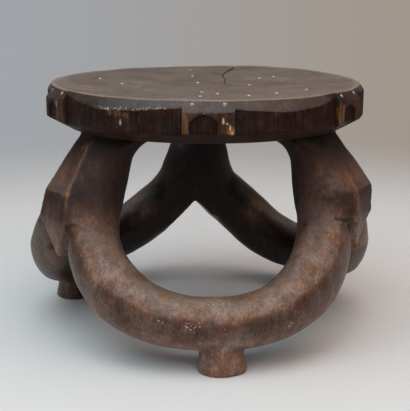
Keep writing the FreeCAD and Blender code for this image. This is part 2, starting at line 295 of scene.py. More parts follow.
# Filling of hollows: its rounds and pace, how strong it is, and where
STEP_ROUNDS = 4  # of smoothing that first takes out the steps of the mesh
STEP_SHARES = (0.5, -0.53)  # of each round, inwards and back out
FILL_ROUNDS = 30
FILL_REFRESH = 10  # rounds after which the normals are read again
FILL_PACE = 0.8
FILL_ALL = 0.1
FILL_OUTSIDE = 0.9  # on top of that
FILL_INSIDE = 0.3
OUTSIDE_RANGE = mm(118, 126)  # distance from the axis
ABOVE_NOTCH = (NOTCH_HEIGHT + 4 * MM, NOTCH_HEIGHT + 8 * MM)
INSIDE_RANGE = mm(85, 140)  # height
FOOT_TOP = 40 * MM

# Crotches where the bows part under an upright, and the V under the back one
CROTCH_ROUNDS = 40  # of smoothing
CROTCH_HEIGHTS = mm(75, 90, 110, 125)
CROTCH_OUTSIDE = mm(150, 140)
V_HEIGHT = 96 * MM  # its top, on the inner side
V_PLACE = 130 * MM
V_FALL = 0.23  # of that top, backwards
V_LEFT_SLOPE = 1.2
V_RIGHT_SLOPE = 0.85
V_ROUNDS = 5
V_THICKNESS = mm(24, 15)  # distance within which the surface is moved to the V
V_WIDTH = mm(40, 22)
V_LENGTH = mm(108, 116, 148, 156)  # from front to back

# Rounding of the windows' corners under the seat
FLARE_HEIGHT = 30 * MM
FLARE_WIDTH = 44 * MM
FLARE_OUTSIDE = mm(30, 60)  # distance from the axis towards the upright
FLARE_SIDE = mm(5, 32)  # distance sideways from that line
TOWARDS_NEXT = 150  # degrees between its direction and the way to the next upright

# Pulls on the legs: place, reach and move, in millimetres
LEG_PULLS = [
    ((0, 135, 95), 34, (2.5, 0, 0)),  # crotch under the back upright
    ((68, -92, 185), 50, (6, 0, 0)),  # inner edge of the front right upright
    ((84, -92, 140), 30, (2.2, 0, 0)),
    ((156, -78, 116), 46, (-4, 2.3, 0)),  # lower outer side of that upright
    ((156, -60, 153), 45, (3, 0, -1.5)),  # its knee, and a bump below that
    ((158, -64, 130), 20, (-1, 0, 0)),
    ((168, -22, 84), 70, (-4.5, 0, 0)),  # bow behind it
    ((-30, 115, 178), 50, (13, 0, 0)),  # back upright, left and right edge
    ((40, 115, 145), 38, (6, 0, 0)),
    ((88, 112, 68), 62, (0, 0, -4.5)),  # bow at the back right, and its underside
    ((84, 112, 44), 68, (0, 0, -5)),
    ((22, -166, 9), 28, (5, 0, 0)),  # front foot
]
PULL_CORE = 0.3  # share of the reach that is moved in full

# Colours of the wood, from its darkest to its lightest tone, and of what lies on it
WOOD_STOPS = [
    (0.0, (0.0075, 0.0028, 0.0017)),
    (0.25, (0.030, 0.0125, 0.0080)),
    (0.5, (0.075, 0.038, 0.027)),
    (0.75, (0.16, 0.088, 0.062)),
    (1.0, (0.30, 0.19, 0.14)),
]
# Dust, and a painted sheen, on faces that look upwards
DUST_AND_SHEEN_COLOUR = (0.217, 0.190, 0.155)
WEAR_COLOUR = (0.42, 0.19, 0.07)
PALE_COLOUR = (0.58, 0.43, 0.27)
SPECK_COLOUR = (0.52, 0.39, 0.26)

# Noises of the wood: scale, detail and roughness
WOOD_NOISES = {
    "grain": (620, 5, 0.65),
    "pores": (1500, 2, 0.5),
    "patches": (26, 6, 0.68),
    "stains": (130, 4, 0.6),
    "specks": (560, 3, 0.7),
    "flecks": (640, 2, 0.5),
    "tints": (60, 4, 0.55),
}
GRAIN_STRETCH = (1, 1, 0.06)
STAIN_STRETCH = (1, 1, 0.55)
BLOTCHES = (("patches", 0.9), ("stains", 0.7), ("specks", 0.8))  # and how much each changes the tone

# Ranges that are moved to other ranges: of the noises, and of how much a face looks upwards
TINT_RANGE = (0.35, 0.65, 0.85, 1.2)
UPWARD_RANGE = (0.5, 1.0, 0.0, 0.45)
DUST_AND_SHEEN_RANGE = (0.3, 0.7, 0.4, 1.0)
WEAR_RANGE = (0.42, 0.62, 0.25, 1.0)
PALE_RANGE = (0.35, 0.5, 0.3, 1.0)
FLECK_RANGE = (0.76, 0.82, 0.0, 0.9)
ROUGHNESS_RANGE = (0.25, 0.75, 0.34, 0.52)
FLECK_THICKENING = 0.2
# How far painted shade in hollows, pockets and undercuts darkens the wood
HOLLOW_SHADING = 0.7
WOOD_BUMP = (0.4, 0.5 * MM)  # strength and depth
TOP_GLOSS = 0.5
RIM_GLOSS = 0.12
LEG_GLOSS = 0.32

# Metals of the tacks: bright and tarnished colour, and how rough each of them is
TACK_METALS = {
    "dish": ("tack_steel", (0.72, 0.69, 0.65), (0.38, 0.34, 0.30), (0.35, 0.6)),
    "lug": ("dull_tack_steel", (0.42, 0.38, 0.33), (0.20, 0.165, 0.13), (0.5, 0.75)),
}
TARNISH_NOISE = (900, 4, 0.6)
TARNISH_RANGE = (0.35, 0.65)
TACK_ROUGHNESS_RANGE = (0.3, 0.7)
TACK_BUMP = (0.3, 0.2 * MM)

# Floor, wall and backdrop
FLOOR_REACH = 4.0
FADE = (0.5, 1.3)  # distances from the axis between which the floor fades away
WALL_PLACE = 1.6
WALL_HALF_WIDTH = 2.5
WALL_TOP = 2.4
PAPER_COLOUR = (0.72, 0.72, 0.72)
PAPER_ROUGHNESS = 0.9
PAPER_GLOSS = 0.1
WALL_COLOUR = (0.50, 0.495, 0.49)
BACKDROP_COOL = (0.355, 0.375, 0.40)
BACKDROP_WARM = (0.355, 0.30, 0.255)
BACKDROP_RANGE = (-0.15, 0.35)  # painted light: from cool at the left to warm at the right
WORLD_LIGHT = (0.03, 0.03, 0.03)

# Soft lamps: name, place, aim, size, power and colour
LAMPS = [
    ("left_lamp", (-0.7, -0.7, 1.5), (-0.2, -0.2, 0), (1.6, 1.7), 20.5, (0.75, 0.93, 1.0)),
    ("right_lamp", (0.7, -0.7, 1.5), (0.2, -0.2, 0), (1.6, 1.7), 13, (1.0, 0.80, 0.68)),
    ("top_lamp", (0, 0.3, 1.5), (0, 0.1, 0), (2.4, 1.0), 9, (1.0, 0.93, 0.92)),
    ("front_lamp", (0, -2.2, 1.3), (0, 0, 0.1), (2.0, 1.2), 13, (1.0, 0.88, 0.89)),
]

# Camera: lens, place, and how it is turned
IMAGE_HEIGHT = 411.0
FOCAL_PIXELS = 1036.86
SENSOR = 36.0
CAMERA_DISTANCE = 1.0548
CAMERA_HEIGHT = 0.3634
CAMERA_TURN = math.radians(-5.53)
CAMERA_PITCH = math.radians(13.05)
CAMERA_ROLL = math.radians(0.18)


def relief(points, depth, size, shift=0.0, height_share=1.0):
    """Smooth bumps of a depth and a size, in which the height counts only by a share."""
    places = points * (1, 1, height_share) / size + shift
    return depth * np.array([noise.noise(place) for place in places])


def smooth_step(values, start, end):
    """0 up to start, 1 past end, and a smooth rise between; the end may be the smaller one."""
    share = np.clip((values - start) / (end - start), 0.0, 1.0)
    return share * share * (3 - 2 * share)


def rise_and_fall(values, start, full, still_full, end):
    """0 up to start and past end, 1 in the middle, and smooth steps between."""
    return smooth_step(values, start, full) * smooth_step(values, end, still_full)


def mesh_arrays(mesh):
    """Points, normals and edges of a mesh."""
    points = np.zeros(len(mesh.vertices) * 3)
    mesh.vertices.foreach_get("co", points)
    normals = np.zeros(len(mesh.vertices) * 3)
    mesh.vertices.foreach_get("normal", normals)
    edges = np.zeros(len(mesh.edges) * 2, int)
    mesh.edges.foreach_get("vertices", edges)
    return points.reshape(-1, 3), normals.reshape(-1, 3), edges.reshape(-1, 2)


def set_points(mesh, points):
    """Moves the points of a mesh."""
    mesh.vertices.foreach_set("co", np.asarray(points, np.float32).ravel())
    mesh.update()


def neighbour_mean(values, edges):
    """For each point, the mean of its neighbours' values."""
    count = len(values)
    starts, ends = np.concatenate([edges, edges[:, ::-1]]).T
    degree = np.maximum(np.bincount(starts, minlength=count), 1)
    columns = [np.bincount(starts, column[ends], count) / degree for column in values.T]
    return np.stack(columns, axis=1)


def without_steps(points, edges, rounds):
    """Points after smoothing that takes out small steps and keeps the size."""
    for _ in range(rounds):
        for share in STEP_SHARES:
            points = points + share * (neighbour_mean(points, edges) - points)
    return points


def eased(points, edges, weight, rounds):
    """Points after rounds of smoothing by a weight, one for all or one for each point."""
    for _ in range(rounds):
        points = points + 0.5 * weight * (neighbour_mean(points, edges) - points)
    return points


def stands_out(mesh, height, rounds):
    """How far each point stands out of its smoothed surroundings, as a share of a height."""
    points, normals, edges = mesh_arrays(mesh)
    return np.sum((points - eased(points, edges, 1.0, rounds)) * normals, axis=1) / height


def keep_values(mesh, **values):
    """Keeps numbers for each point, for the material to read by their names."""
    for name, numbers in values.items():
        layer = mesh.attributes.new(name, "FLOAT", "POINT")
        layer.data.foreach_set("value", np.asarray(numbers, np.float32))


def spot_distance(points, spots):
    """Distance from the middle of the nearest spot, in half sizes of the spot."""
    apart = [np.linalg.norm((points / MM - middle) / sizes, axis=1) for middle, sizes in spots]
    return np.min(apart, axis=0)


def ragged_spots(points, spots):
    """1 in the spots, 0 outside them, and a ragged edge between: worn and stained spots, and pockets in
    painted shade.
    """
    sized = [(middle, (half, half, half * upright)) for middle, half, upright in spots]
    return smooth_step(spot_distance(points, sized) * (1 + relief(points, *SPOT_RAGS)), *SPOT_EDGE)


def direction(degrees):
    """Level direction at an angle from +X."""
    return np.array((math.cos(math.radians(degrees)), math.sin(math.radians(degrees)), 0.0))


def new_object(name, data):
    """Object in the scene."""
    thing = bpy.data.objects.new(name, data)
    bpy.context.scene.collection.objects.link(thing)
    return thing


def mesh_of(name, shape):
    """Mesh made from a finished shape."""
    mesh = bpy.data.meshes.new(name)
    shape.to_mesh(mesh)
    shape.free()
    return mesh


def applied(thing):
    """Mesh of an object with its modifiers applied."""
    bpy.context.view_layer.update()
    result = thing.evaluated_get(bpy.context.evaluated_depsgraph_get())
    return bpy.data.meshes.new_from_object(result)


# Seat


def seat_columns():
    """Angles of the seat's columns in degrees, closer together at the lugs and the split."""
    edges = np.array([-LUG_WIDTH / 2, NICHE_LEFT, NICHE_RIGHT, LUG_WIDTH / 2])
    turns = np.degrees(edges / LUG_RADIUS)
    close = [middle + turn + shift for middle in LUG_MIDDLES for turn in turns for shift in EDGE_SHIFTS]
    angles = np.sort(np.concatenate([
        np.mod(close, 360),
        *[np.arange(start, end, CLOSE_STEP) for start, end in CLOSE_COLUMNS],
        np.arange(0, 360, COLUMN_STEP),
    ]))
    far_enough = np.diff(angles, append=angles[0] + 360) > LEAST_STEP
    return angles[far_enough]


def rim_reach(angles):
    """How far the rim stands outside the ridge, and the place across the nearest lug."""
    before = np.searchsorted(LUG_MIDDLES, np.mod(angles, 360), side="right") - 1
    past = np.mod(angles - LUG_MIDDLES[before], 360)
    pitch = np.mod(np.roll(LUG_MIDDLES, -1) - LUG_MIDDLES, 360)[before]
    first_half = past < pitch / 2
    turn = np.where(first_half, past, past - pitch)
    across = np.radians(turn) * LUG_RADIUS
    lobe_half = np.radians(pitch / 2) * LUG_RADIUS - LUG_WIDTH / 2
    from_middle = 1 - np.clip((np.abs(across) - LUG_WIDTH / 2) / lobe_half, 0, 1)
    fullest = LOBE_REACHES[before]
    lobe_end = np.where(first_half, LOBE_STARTS[before], LOBE_ENDS[before])
    lobe = fullest - (fullest - lobe_end) * from_middle ** LOBE_POWER
    return np.where(np.abs(across) < LUG_WIDTH / 2, LUG_REACH, lobe), across


def niche_share(across, below_bevel):
    """Depth of the arched niche between the ribs of a lug, as a share of its full depth."""
    middle = (NICHE_LEFT + NICHE_RIGHT) / 2
    half = (NICHE_RIGHT - NICHE_LEFT) / 2
    place = (across - middle) / half
    inside = smooth_step(1 - np.abs(place), 0.0, NICHE_SIDE)
    arch = NICHE_TOP + NICHE_ARCH * place ** 2
    return inside * smooth_step(below_bevel, arch, arch + NICHE_FALL)


def distance_to_line(points, line):
    """Distance of points from a line given in millimetres, and the share of the way along it."""
    nearest = np.full(len(points), np.inf)
    along = np.zeros(len(points))
    for index, (start, end) in enumerate(zip(line, line[1:])):
        start = np.array(start) * MM
        way = np.array(end) * MM - start
        share = np.clip((points - start) @ way / (way @ way), 0, 1)
        distance = np.linalg.norm(points - start - share[:, None] * way, axis=1)
        closer = distance < nearest
        nearest[closer] = distance[closer]
        along[closer] = (index + share[closer]) / (len(line) - 1)
    return nearest, along


def split_depth(points):
    """Depth of the drying split at points seen from above."""
    flat = points[:, :2] + np.stack([relief(points, *sway) for sway in SPLIT_SWAYS], 1)
    depth = np.zeros(len(points))
    for line in SPLIT:
        distance, along = distance_to_line(flat, line)
        half_width = SPLIT_HALF_WIDTH * (1 - SPLIT_NARROWING * along)
        deepest = SPLIT_DEPTH * (1 - SPLIT_SHALLOWING * along)
        depth = np.maximum(depth, deepest * smooth_step(distance, half_width, 0))
    return depth


def straight_rows(start, end, count, zone):
    """Rows of radius, height and zone from one row to another, without the first."""
    shares = np.linspace(0, 1, count + 1)[1:]
    first, last = np.array(start), np.array(end)
    return [(*(first + (last - first) * share), zone) for share in shares]


def seat_rows(angles):
    """Rows of radius, height and zone, from the middle of the dish to that of the underside."""
    reach, across = rim_reach(angles)
    turns = np.radians(angles)
    ring = np.stack([np.cos(turns), np.sin(turns), np.zeros(len(angles))], 1)
    reach = reach * (1 + relief(ring, *REACH_SWAY))
    ridge = RIDGE_RADIUS + relief(ring, *RIDGE_SWAY)
    lift = BACK_LIFT * np.exp(-((angles - LIFT_MIDDLE) / LIFT_SPREAD) ** 2) + relief(ring, *RIDGE_WAVES)
    rim = ridge + reach
    bevel_foot = SEAT_HEIGHT + lift - BEVEL_SLOPE * reach
    chamfer_slope = CHAMFER_HEIGHT / CHAMFER_DEPTH
    chamfer_top = SEAT_UNDERSIDE + chamfer_slope * (rim - UNDERSIDE_RADIUS)
    rows = []
    for share in np.linspace(1 / DISH_ROWS, 1, DISH_ROWS):
        place = share + DISH_CROWDING * share * (1 - share)
        height = SEAT_HEIGHT - DISH_DEPTH * (1 - place ** 2) + lift * place ** LIFT_POWER
        rows.append((ridge * place, height, "dish"))
    rows += straight_rows((ridge, SEAT_HEIGHT + lift), (rim, bevel_foot), BEVEL_ROWS, "bevel")
    for radius, height, zone in straight_rows((rim, bevel_foot), (rim, chamfer_top), SIDE_ROWS, "side"):
        rows.append((radius - NICHE_DEPTH * niche_share(across, bevel_foot - height), height, zone))
    low_edge = (np.full(len(angles), UNDERSIDE_RADIUS), np.full(len(angles), SEAT_UNDERSIDE))
    low_middle = (np.zeros(len(angles)), low_edge[1])
    rows += straight_rows((rows[-1][0], chamfer_top), low_edge, CHAMFER_ROWS, "chamfer")
    rows += straight_rows(low_edge, low_middle, UNDERSIDE_ROWS, "underside")[:-1]
    return rows, ring


def seat_mesh():
    """Closed mesh of the seat, with its hand-carved unevenness and its split."""
    angles = seat_columns()
    rows, ring = seat_rows(angles)
    grid = np.array([ring * radius[:, None] + np.outer(height, (0, 0, 1)) for radius, height, _ in rows])
    first_rim = DISH_ROWS - 1
    last_rim = first_rim + BEVEL_ROWS + SIDE_ROWS + CHAMFER_ROWS
    even = grid.copy()
    even[1:-1] = (grid[:-2] + 2 * grid[1:-1] + grid[2:]) / 4
    even = (np.roll(even, 1, 1) + 2 * even + np.roll(even, -1, 1)) / 4
    grid[first_rim + 1:last_rim] = even[first_rim + 1:last_rim]
    side = grid[first_rim + BEVEL_ROWS:last_rim]
    places = side.reshape(-1, 3)
    marks = relief(places, *SIDE_STREAKS) + relief(places, *SIDE_FACETS)
    side += ring * marks.reshape(side.shape[:2])[..., None]
    top = grid[:first_rim + BEVEL_ROWS].reshape(-1, 3)
    waves = relief(top, *TOP_WAVES) + relief(top, *TOP_RIPPLES)
    sunk = split_depth(top)
    top[:, 2] += waves - sunk
    middles = [(0, 0, DISH_BOTTOM), (0, 0, SEAT_UNDERSIDE)]
    points = np.concatenate([grid.reshape(-1, 3), middles])
    mesh = bpy.data.meshes.new("carved_seat")
    mesh.from_pydata(points.tolist(), [], seat_faces(len(rows), len(angles)))
    mesh.update()
    finish_seat(mesh, np.array([zone for _, _, zone in rows]), angles, sunk)
    top_faces = (DISH_ROWS + BEVEL_ROWS - 1) * len(angles)
    rim_faces = (len(rows) - 1) * len(angles) - top_faces
    parts = np.repeat([0, 1, 0, 1], [top_faces, rim_faces, len(angles), len(angles)])
    mesh.polygons.foreach_set("material_index", parts)
    return mesh


def finish_seat(mesh, zones, angles, sunk):
    """Keeps the finish, with its painted light and shade, and the wear, chips and painted shade in
    hollows of each point of the seat.
    """
    points = mesh_arrays(mesh)[0]
    finish = np.repeat([SEAT_FINISH[zone] for zone in zones], len(angles), axis=0)
    finish = np.concatenate([finish, finish[:1], finish[-1:]])
    # Painted shade in the split
    finish[:len(sunk), 0] -= SPLIT_SHADE * smooth_step(sunk, *SPLIT_SHADE_DEPTHS)
    dish = points[:DISH_ROWS * len(angles)]
    # Painted light and shade in the dish, and faint rays
    finish[:len(dish), 0] += dish_tones(dish)
    across = rim_reach(angles)[1]
    lugs = raised_lugs(zones, across)
    # Painted light on the raised fronts of the lugs, so that their niches look shaded
    finish[:-2, 0] += LUG_FRONT_LIGHT * lugs.ravel()
    keep_values(mesh, **dict(zip(FINISH_NAMES, finish.T)))
    wear, pale = rim_wear(lugs, across)
    stains = STAIN_STRENGTH * ragged_spots(points, SEAT_STAINS)
    keep_values(
        mesh,
        wear=np.max([np.append(wear, (0, 0)), ragged_spots(points, SEAT_MARKS), stains], axis=0),
        # Pale chips, and the ridge's pale line, which is partly a painted highlight
        pale=np.maximum(np.append(pale, (0, 0)), ragged_spots(points, SEAT_CHIPS)),
        # Painted shade in hollows
        hollow=np.clip(-stands_out(mesh, *SEAT_HOLLOW_SHADE), 0, 1),
        specked=np.append(foot_flecks(len(zones), angles), (0, 0)),
    )


def raised_lugs(zones, across):
    """1 on the raised front of each lug, 0 in its niche and on the rest of the seat."""
    below = np.clip(np.cumsum(zones == "side") / SIDE_ROWS, 0, 1) * SIDE_HEIGHT
    niche = niche_share(across[None, :], below[:, None])
    return np.outer(zones == "side", np.abs(across) < LUG_WIDTH / 2) * (1 - niche)


def rim_wear(lugs, across):
    """How rubbed the lugs are, most of all at their left rib, and how pale the ridge is: worn, and
    partly a painted highlight.
    """
    wear = lugs * np.where(across < NICHE_LEFT, RIB_WEAR, LUG_WEAR)
    pale = np.zeros(wear.shape)
    pale[DISH_ROWS - 2], pale[DISH_ROWS - 1] = RIDGE_WEAR_AND_HIGHLIGHT
    return wear, pale


def foot_flecks(row_count, angles):
    """How thick the pale flecks are along the foot of the bevel, mostly at the left front."""
    left_front = rise_and_fall(angles, *FLECKED)
    flecks = np.zeros((row_count, len(angles)))
    foot = DISH_ROWS + BEVEL_ROWS - 1
    for row, share in FLECKED_ROWS:
        flecks[foot + row] = share * (FLECKS_ALL_ROUND + FLECKS_LEFT * left_front)
    return flecks


def dish_tones(points):
    """Painted light and shade in the dish, paler towards the ridge and darker at the back, and faint
    rays in its tone.
    """
    radius = np.linalg.norm(points[:, :2], axis=1)
    rays = np.column_stack([points[:, :2] / radius[:, None] * RAY_FINENESS, radius / RAY_LENGTH])
    lit_ring = RING_LIGHT * smooth_step(radius / RIDGE_RADIUS, RING_START, 1.0)
    shaded_back = DISH_BACK_SHADE * smooth_step(points[:, 1], 0, RIDGE_RADIUS)
    return lit_ring - shaded_back + relief(rays, *DISH_RAYS)


def seat_faces(row_count, column_count):
    """Quads between the rows, and a fan at each end."""
    places = np.arange(row_count * column_count).reshape(row_count, column_count)
    nexts = np.roll(places, -1, axis=1)
    quads = np.stack([places[:-1], places[1:], nexts[1:], nexts[:-1]], 2).reshape(-1, 4).tolist()
    top_middle = row_count * column_count
    top_fan = [(top_middle, *pair) for pair in zip(places[0].tolist(), nexts[0].tolist())]
    low_fan = [(top_middle + 1, *pair) for pair in zip(nexts[-1].tolist(), places[-1].tolist())]
    return quads + top_fan + low_fan


def hole_cutter():
    """Tapered pegs that cut the empty tack holes."""
    shape = bmesh.new()
    for radius, degrees in EMPTY_HOLES:
        place = Vector(radius * MM * direction(degrees))
        place.z = DISH_BOTTOM + DISH_DEPTH * (radius * MM / RIDGE_RADIUS) ** 2
        bmesh.ops.create_cone(
            shape, cap_ends=True, segments=HOLE_SIDES, radius1=HOLE_RADIUS / 2, radius2=HOLE_RADIUS,
            depth=2 * HOLE_DEPTH, matrix=Matrix.Translation(place),
        )
    return new_object("holes", mesh_of("holes", shape))


def carved_seat(top_wood, rim_wood):
    """The seat with its lugs, split and empty tack holes."""
    mesh = seat_mesh()
    mesh.materials.append(top_wood)
    mesh.materials.append(rim_wood)
    mesh.shade_smooth()
    piece = new_object("carved_seat", mesh)
    cutter = hole_cutter()
    cut = piece.modifiers.new("holes", "BOOLEAN")
    cut.object = cutter
    cut.solver = "EXACT"
    mesh = applied(piece)
    piece.modifiers.clear()
    piece.data = mesh
    bpy.data.objects.remove(cutter)
    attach(piece, "root")
    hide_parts("seat")


# Legs


def leg_names():
    """Nodes that the legs stand for."""
    return sorted(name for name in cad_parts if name.split("_")[0] in ("upright", "bow", "foot"))


def outline_at(mesh, height):
    """Points where the edges of a mesh cross a height."""
    points, _, edges = mesh_arrays(mesh)
    start, end = points[edges[:, 0]], points[edges[:, 1]]
    crossing = (start[:, 2] - height) * (end[:, 2] - height) < 0
    start, end = start[crossing], end[crossing]
    share = (height - start[:, 2]) / (end[:, 2] - start[:, 2])
    return start + share[:, None] * (end - start)


def add_flat_sides(shape, mesh):
    """Adds slices of an upright with flat sides."""
    heights = np.arange(NOTCH_HEIGHT, SEAT_UNDERSIDE - FLAT_STEP, FLAT_STEP)
    heights = np.append(heights, SEAT_UNDERSIDE - TOP_CUT)
    outlines = [outline_at(mesh, height) for height in heights]
    for low, high in zip(outlines, outlines[1:]):
        corners = [shape.verts.new(point) for point in np.concatenate([low, high])]
        made = bmesh.ops.convex_hull(shape, input=corners)
        spare = [item for item in made["geom_interior"] if isinstance(item, bmesh.types.BMVert)]
        bmesh.ops.delete(shape, geom=spare, context="VERTS")


def leg_block():
    """One closed, even mesh of all the legs and a slab of the seat above them."""
    shape = bmesh.new()
    for name in leg_names():
        shape.from_mesh(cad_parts[name].data)
    for name in UPRIGHT_TURNS:
        add_flat_sides(shape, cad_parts[name].data)
    slab = Matrix.Translation((0, 0, SEAT_UNDERSIDE + LEG_VOXEL + SLAB_HEIGHT / 2))
    bmesh.ops.create_cone(
        shape, cap_ends=True, segments=SLAB_SIDES, radius1=UNDERSIDE_RADIUS, radius2=UNDERSIDE_RADIUS,
        depth=SLAB_HEIGHT, matrix=slab,
    )
    block = new_object("leg_block", mesh_of("leg_block", shape))
    remesh = block.modifiers.new("even", "REMESH")
    remesh.mode = "VOXEL"
    remesh.voxel_size = LEG_VOXEL
    even = applied(block)
    bpy.data.objects.remove(block)
    return even


def fill_hollows(mesh):
    """Fills the sharp hollows between posts and bows, and gives the legs their final form."""
    points, _, edges = mesh_arrays(mesh)
    points = without_steps(points, edges, STEP_ROUNDS)
    height = points[:, 2]
    radius = np.linalg.norm(points[:, :2], axis=1)
    outside = smooth_step(radius, *OUTSIDE_RANGE)
    weight = FILL_ALL + FILL_OUTSIDE * outside * smooth_step(height, *ABOVE_NOTCH)
    weight += FILL_INSIDE * (1 - outside) * smooth_step(height, *INSIDE_RANGE)
    weight = np.where(height < FOOT_TOP, FILL_ALL, weight)
    for step in range(FILL_ROUNDS):
        if step % FILL_REFRESH == 0:
            set_points(mesh, points)
            normals = mesh_arrays(mesh)[1]
        gap = np.sum((neighbour_mean(points, edges) - points) * normals, axis=1)
        points = points + normals * (FILL_PACE * weight * np.maximum(gap, 0))[:, None]
    crotch = rise_and_fall(height, *CROTCH_HEIGHTS)
    crotch *= smooth_step(radius, *CROTCH_OUTSIDE)
    points = eased(points, edges, crotch[:, None], CROTCH_ROUNDS)
    points, share = with_sharp_crotch(points)
    points = eased(points, edges, share[:, None], V_ROUNDS)
    set_points(mesh, pulled(with_round_corners(points)) + (LEG_SHIFT, 0, 0))


def with_sharp_crotch(points):
    """Points of the legs, with a V under the back upright, and how much each one was moved."""
    aside = np.abs(points[:, 0])
    back = points[:, 1]
    drop = aside * np.where(points[:, 0] < 0, V_LEFT_SLOPE, V_RIGHT_SLOPE)
    above = points[:, 2] - (V_HEIGHT - V_FALL * (back - V_PLACE) - drop)
    share = smooth_step(np.abs(above), *V_THICKNESS) * smooth_step(aside, *V_WIDTH)
    share *= rise_and_fall(back, *V_LENGTH)
    moved = points.copy()
    moved[:, 2] -= share * above
    return moved, share


def with_round_corners(points):
    """Points of the legs, wider in a curve under the seat towards the neighbouring uprights."""
    rise = np.clip((points[:, 2] - SEAT_UNDERSIDE + FLARE_HEIGHT) / FLARE_HEIGHT, 0, 1)
    width = FLARE_WIDTH * (1 - np.sqrt(1 - rise ** 2))
    moved = points.copy()
    for degrees in UPRIGHT_TURNS.values():
        near = smooth_step(points @ direction(degrees), *FLARE_OUTSIDE)
        for side in (-1, 1):
            place = points @ direction(degrees + 90 * side)
            share = near * smooth_step(place, *FLARE_SIDE)
            moved += np.outer(width * share, direction(degrees + TOWARDS_NEXT * side))
    return moved


def pulled(points):
    """Points of the legs, pulled about at the listed places."""
    moved = points.copy()
    for place, reach, move in LEG_PULLS:
        apart = np.linalg.norm(points / MM - place, axis=1)
        share = smooth_step(apart, reach, PULL_CORE * reach)
        moved += np.outer(share, np.array(move) * MM)
    return moved


def bow_ridge(points):
    """Distance of points from the nearest bow's ridge, and how far they lie on its outer side."""
    line = np.array(BOW_RIDGE) * MM
    line_turns = np.arctan2(line[:, 2] - BOW_MIDDLE, line[:, 0])
    line_reaches = np.hypot(line[:, 0], line[:, 2] - BOW_MIDDLE)
    nearest = np.full(len(points), np.inf)
    outer = np.zeros(len(points))
    for turn in BOW_TURNS:
        local = np.stack([points @ direction(turn), points @ direction(turn + 90), points[:, 2]], 1)
        distance = distance_to_line(local, BOW_RIDGE)[0]
        rise = local[:, 2] - BOW_MIDDLE
        ridge = np.interp(np.arctan2(rise, local[:, 0]), line_turns, line_reaches)
        closer = distance < nearest
        nearest[closer] = distance[closer]
        outer[closer] = (np.hypot(local[:, 0], rise) - ridge)[closer]
    return nearest, outer


def ridge_light_and_shade(points, facing):
    """Painted highlight on the upper side of each bow's ridge, painted shade just below it."""
    distance, outer = bow_ridge(points)
    near = smooth_step(distance, *RIDGE_RANGE) * smooth_step(facing, *RIDGE_OUTWARD)
    lighter = rise_and_fall(outer, *HIGHLIGHT_BAND)
    darker = rise_and_fall(outer, *SHADE_BAND)
    return near * (RIDGE_HIGHLIGHT * lighter - RIDGE_SHADE * darker)


def undercut_share(points):
    """1 in the undercuts, which narrow along their lines, and 0 outside them."""
    found = np.zeros(len(points))
    for half_width, line in UNDERCUTS:
        distance, along = distance_to_line(points, line)
        width = half_width * MM * (1 - UNDERCUT_NARROWING * along)
        found = np.maximum(found, smooth_step(distance / width, *SOFT_EDGE))
    return found


def sheen_tones(points):
    """Painted sheen: cloudy, lighter patches inside the back bows, where they catch light."""
    cloudy = np.clip(SHEEN_BASE + relief(points, *SHEEN_CLOUDS), 0, 1)
    return SHEEN_LIGHTENING * cloudy * smooth_step(spot_distance(points, SHEENS), 1, 0)


def leg_tones(points, normals):
    """How light the legs are: darker uprights, lighter bows and feet, with painted shade at the back, on
    inner sides and under the seat, and painted highlights and sheen on upper facets, along the bows'
    ridges and inside the back bows.
    """
    height = points[:, 2]
    outwards = points[:, :2] / np.linalg.norm(points[:, :2], axis=1, keepdims=True)
    facing = np.sum(normals[:, :2] * outwards, axis=1)
    # Painted shade: the legs grow darker towards the back
    tone = BOW_TONE - BACK_SHADE * smooth_step(points[:, 1], *BACK_SHADE_RANGE)
    tone = tone + FOOT_LIGHTENING * smooth_step(height, *FOOT_RANGE)
    # Uprights darken with height, partly painted shade under the seat; their upper facets get a painted
    # sheen
    high = smooth_step(height, *UPRIGHT_RANGE)
    upper_facet_sheen = high * smooth_step(facing, *FACET_OUTWARD) * smooth_step(normals[:, 2], *FACET_UPWARD)
    tone = tone + (UPRIGHT_TONE - tone) * high + FACET_SHEEN * upper_facet_sheen
    # Painted shade on sides that face inwards
    tone = tone - INNER_SHADE * smooth_step(-facing, *INWARD)
    # Painted highlight and shade along the bows' ridges, and painted sheen inside the back bows
    tone = tone + ridge_light_and_shade(points, facing) + sheen_tones(points)
    # Painted shade, near black, just under the seat
    return tone + (UNDER_SEAT_SHADE - tone) * smooth_step(height, *UNDER_SEAT_SHADE_RANGE)


def delete_loose_bits(shape):
    """Deletes every part of a mesh that isn't joined to its lowest point."""
    joined = set()
    found = {min(shape.verts, key=lambda corner: corner.co.z)}
    while found:
        joined |= found
        found = {edge.other_vert(corner) for corner in found for edge in corner.link_edges} - joined
    loose = [corner for corner in shape.verts if corner not in joined]
    bmesh.ops.delete(shape, geom=loose, context="VERTS")


def cut_top(mesh):
    """Cuts the legs just under the seat and runs them straight up into it."""
    shape = bmesh.new()
    shape.from_mesh(mesh)
    everything = shape.verts[:] + shape.edges[:] + shape.faces[:]
    level = Vector((0, 0, SEAT_UNDERSIDE - TOP_CUT))
    bmesh.ops.bisect_plane(shape, geom=everything, plane_co=level, plane_no=(0, 0, 1), clear_outer=True)
    delete_loose_bits(shape)
    rims = [edge for edge in shape.edges if edge.is_boundary]
    made = bmesh.ops.extrude_edge_only(shape, edges=rims)["geom"]
    for item in made:
        if isinstance(item, bmesh.types.BMVert):
            item.co.z += TOP_CUT + TOP_OVERLAP
    rims = [edge for edge in shape.edges if edge.is_boundary]
    bmesh.ops.holes_fill(shape, edges=rims, sides=0)
    bmesh.ops.recalc_face_normals(shape, faces=shape.faces[:])
    shape.to_mesh(mesh)
    shape.free()


